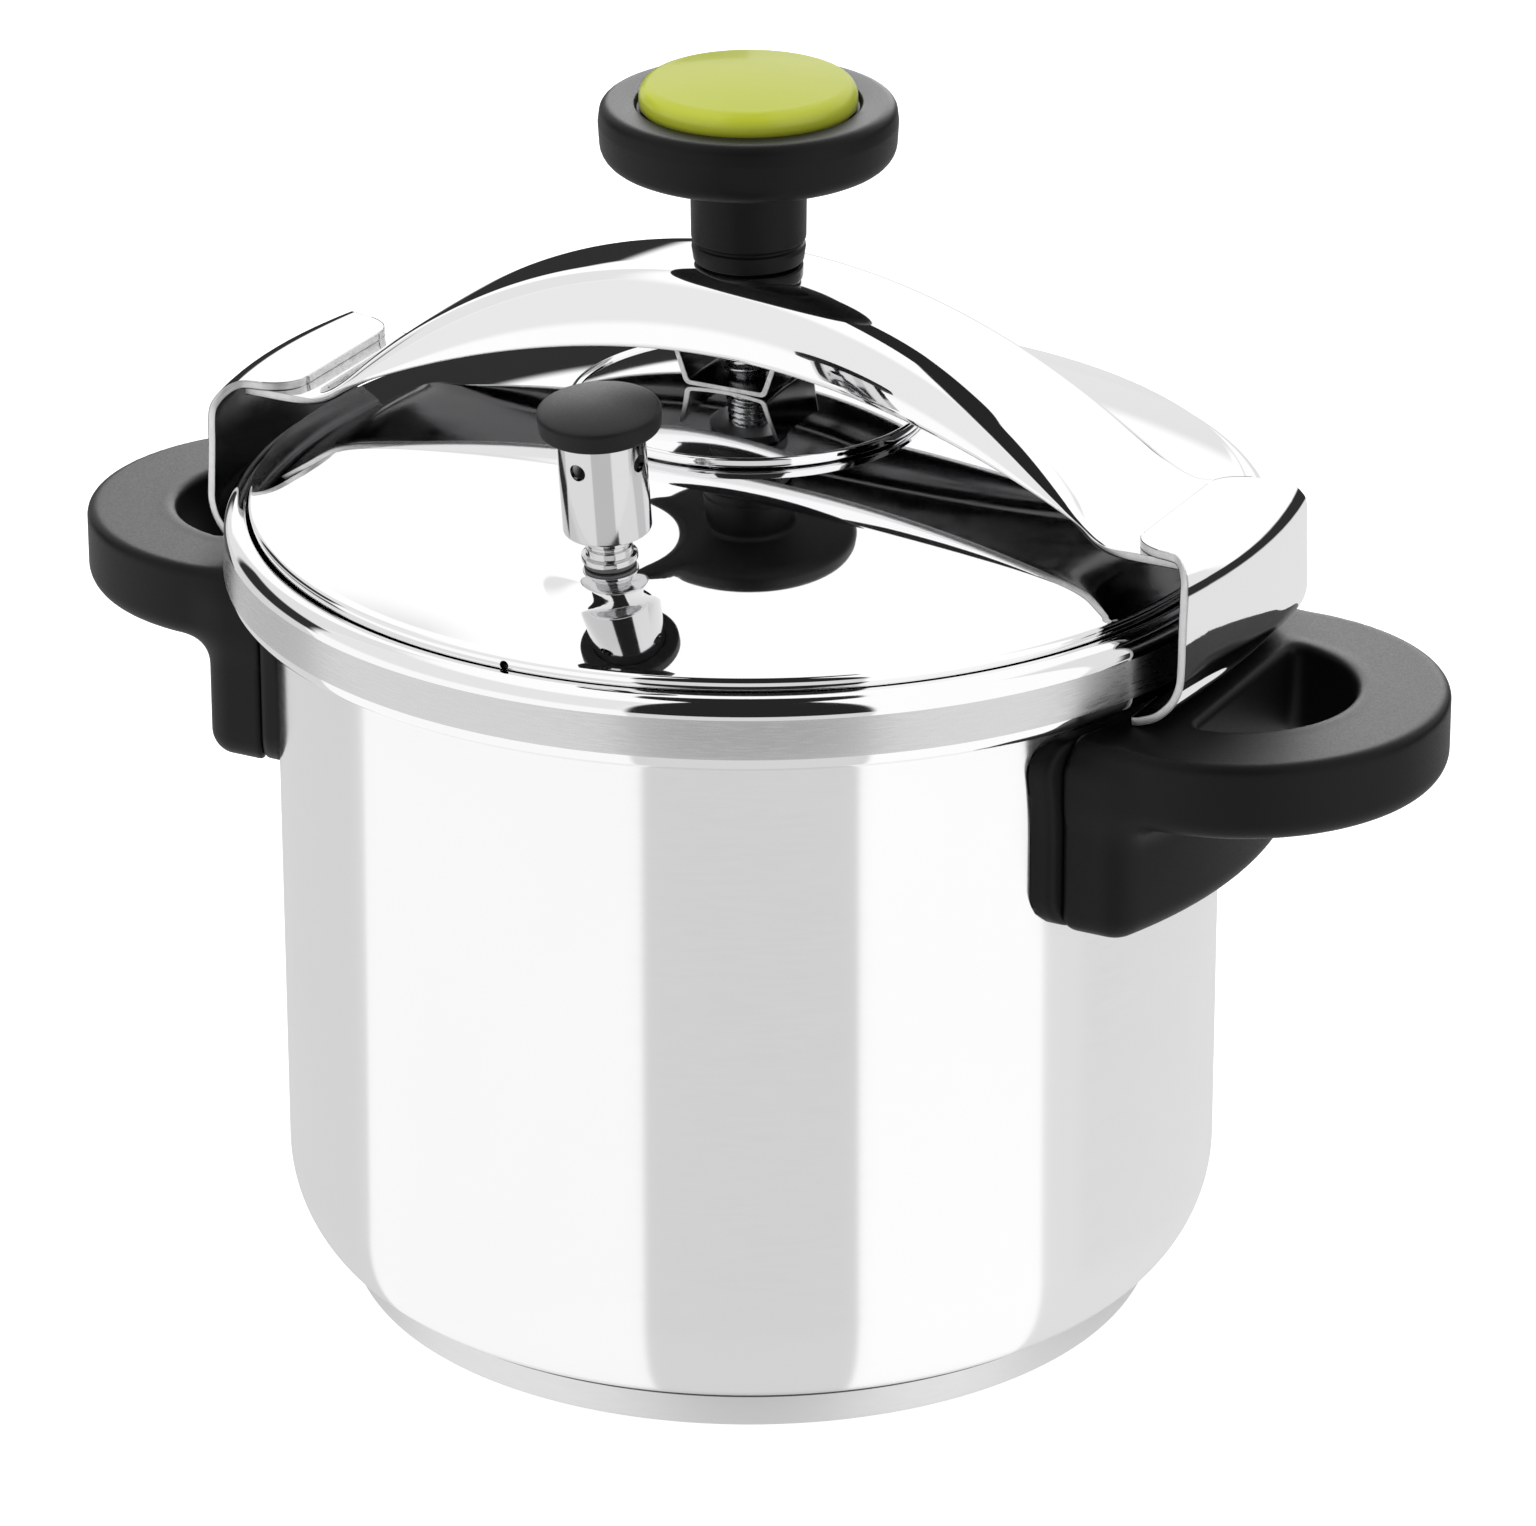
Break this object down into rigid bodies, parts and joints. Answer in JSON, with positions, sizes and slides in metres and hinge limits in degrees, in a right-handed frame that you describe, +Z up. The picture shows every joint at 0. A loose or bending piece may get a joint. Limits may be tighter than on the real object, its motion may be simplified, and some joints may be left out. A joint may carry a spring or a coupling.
{
  "type": "stovetop pressure cooker",
  "caption": "Steel pressure cooker with a domed sealed lid, sliding clamp bridge with screw knob and pressure plate, spring steam valve and two black loop handles.",
  "frame": {"origin": "centre of the underside of the base, on the pot's axis", "axes": "+Z up the pot's axis, handles and bridge along X, steam valve on the -Y side; the bridge slides off towards +Y"},
  "size_m": [0.348, 0.2458, 0.2975],
  "materials": {
    "pot_steel": "polished with a satin rim band",
    "base_steel": "satin, turned",
    "core_aluminium": "as cast",
    "lid_steel": "mirror polished",
    "bridge_steel": "mirror polished, bare cut edges",
    "plate_steel": "polished",
    "valve_steel": "turned and polished",
    "spindle_steel": "machined thread",
    "zinc_steel": "plain",
    "spring_steel": "plain",
    "bakelite": "fine matte grain",
    "cap_green": "gloss",
    "gasket_rubber": "satin silicone"
  },
  "bodies": {
    "pot": {"pot_body": "pot_steel", "pot_rim": "pot_steel", "base_core": "core_aluminium", "base_cap": "base_steel", "bracket_right": "zinc_steel", "bracket_left": "zinc_steel", "saddle_right": "bakelite", "saddle_left": "bakelite", "grip_right": "bakelite", "grip_left": "bakelite", "handle_screws": "zinc_steel"},
    "lid": {"lid_shell": "lid_steel", "lid_gasket": "gasket_rubber", "valve_stem": "valve_steel", "valve_washer": "gasket_rubber", "inner_washer": "gasket_rubber", "valve_nut": "zinc_steel"},
    "valve": {"valve_sleeve": "valve_steel", "valve_cap": "bakelite", "valve_spring": "spring_steel"},
    "plunger": {"valve_plunger": "zinc_steel"},
    "bridge": {"bridge_arch": "bridge_steel", "hook_right": "bridge_steel", "hook_left": "bridge_steel", "spindle_bush": "zinc_steel"},
    "plate": {"pressure_plate": "plate_steel", "plate_yoke": "plate_steel", "thrust_ring": "zinc_steel"},
    "screw": {"spindle": "spindle_steel", "spindle_clip": "spring_steel", "knob": "bakelite", "knob_washer": "zinc_steel", "knob_nut": "zinc_steel", "knob_cap": "cap_green"}
  },
  "joints": [
    {"name": "bridge_slide", "type": "slide", "parent": "pot", "child": "bridge", "axis": [0, 1, 0], "range_m": [0, 0.17]},
    {"name": "plate_travel", "type": "slide", "parent": "bridge", "child": "plate", "axis": [0, 0, 1], "range_m": [0, 0.0075]},
    {"name": "knob_turn", "type": "hinge", "parent": "plate", "child": "screw", "pos_m": [0, 0, 0.26], "axis": [0, 0, 1], "range_deg": [0, 900]},
    {"name": "lid_release", "type": "slide", "parent": "pot", "child": "lid", "axis": [0, 0, 1], "range_m": [0, 0.002]},
    {"name": "valve_turn", "type": "hinge", "parent": "lid", "child": "valve", "pos_m": [0.0082, -0.0823, 0.20797], "axis": [0, -0.1219, 0.9925], "continuous": true},
    {"name": "valve_lift", "type": "slide", "parent": "valve", "child": "plunger", "axis": [0, -0.1219, 0.9925], "range_m": [0, 0.002], "stiffness_N_per_m": 2000, "springref_m": -0.002, "deforming": ["valve_spring"]}
  ],
  "couplings": [
    {"joint": "knob_turn", "follows": "plate_travel", "rad_per_m": 2094.4},
    {"joint": "lid_release", "follows": "plate_travel", "ratio": 0.26667}
  ]
}
